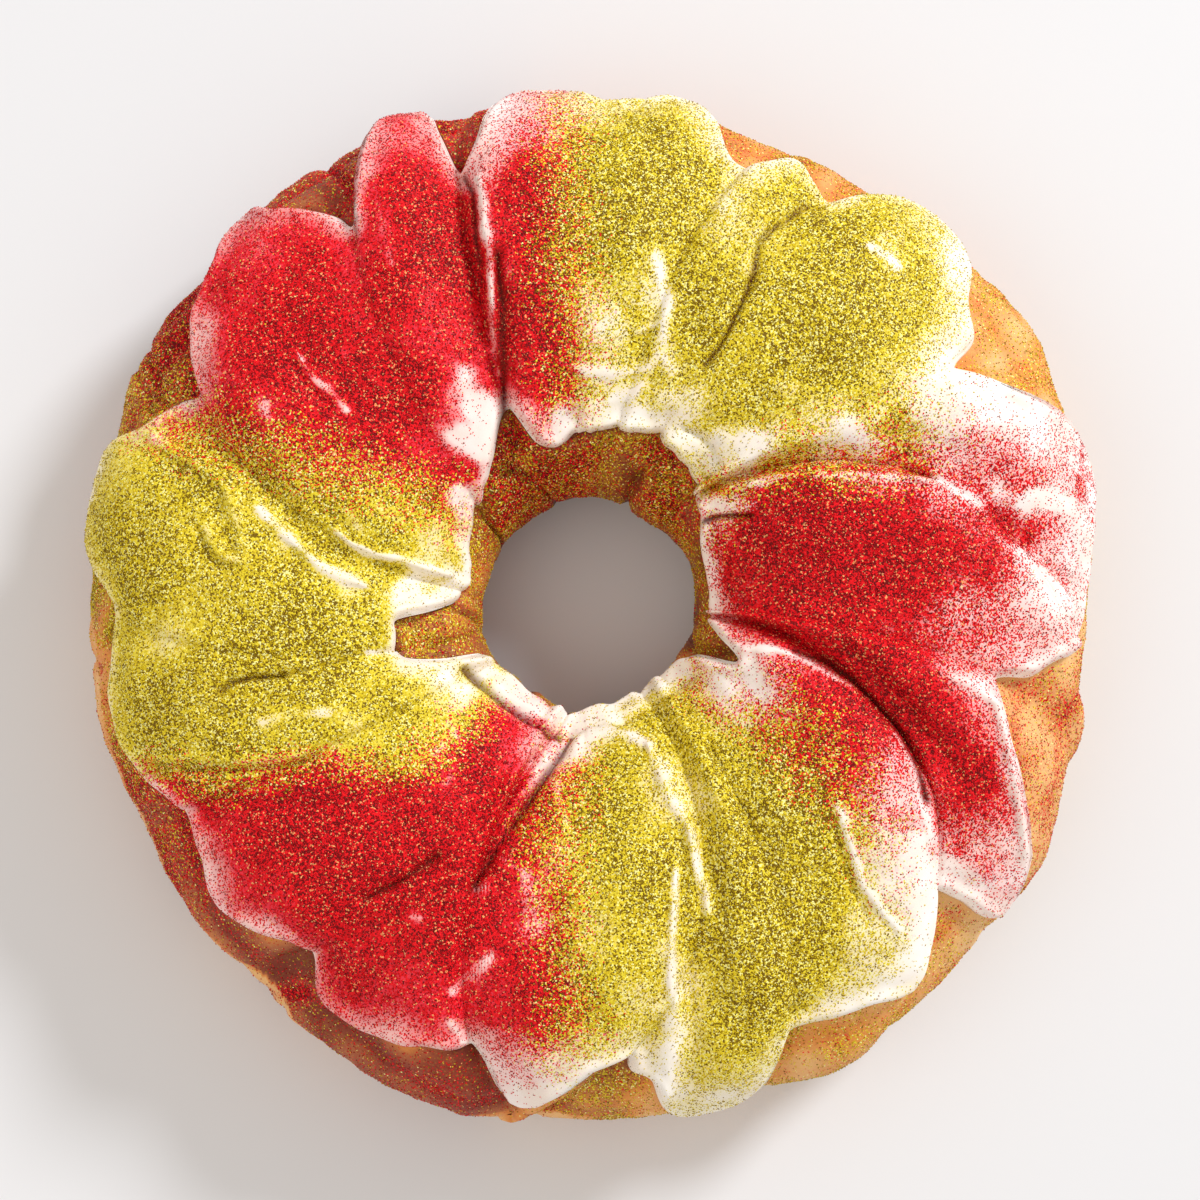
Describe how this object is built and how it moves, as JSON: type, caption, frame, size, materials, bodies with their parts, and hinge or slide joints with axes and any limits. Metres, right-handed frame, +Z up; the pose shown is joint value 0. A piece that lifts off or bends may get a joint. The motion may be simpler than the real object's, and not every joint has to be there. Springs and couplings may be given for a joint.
{
  "type": "king cake",
  "caption": "Ring of twisted sweet dough with a hole through its middle, under a poured sheet of icing with a scalloped hem, baked to be sliced and shared.",
  "frame": {"origin": "centre of the footprint box at the level of the surface that the cake stands on", "axes": "+Z up through the hole; +Y away from the viewer and +X to the right in the view from above"},
  "size_m": [0.2986, 0.3065, 0.071],
  "materials": {
    "baked_crust": null,
    "white_icing": null
  },
  "bodies": {
    "root": {"bread": "baked_crust", "icing": "white_icing"}
  },
  "joints": []
}
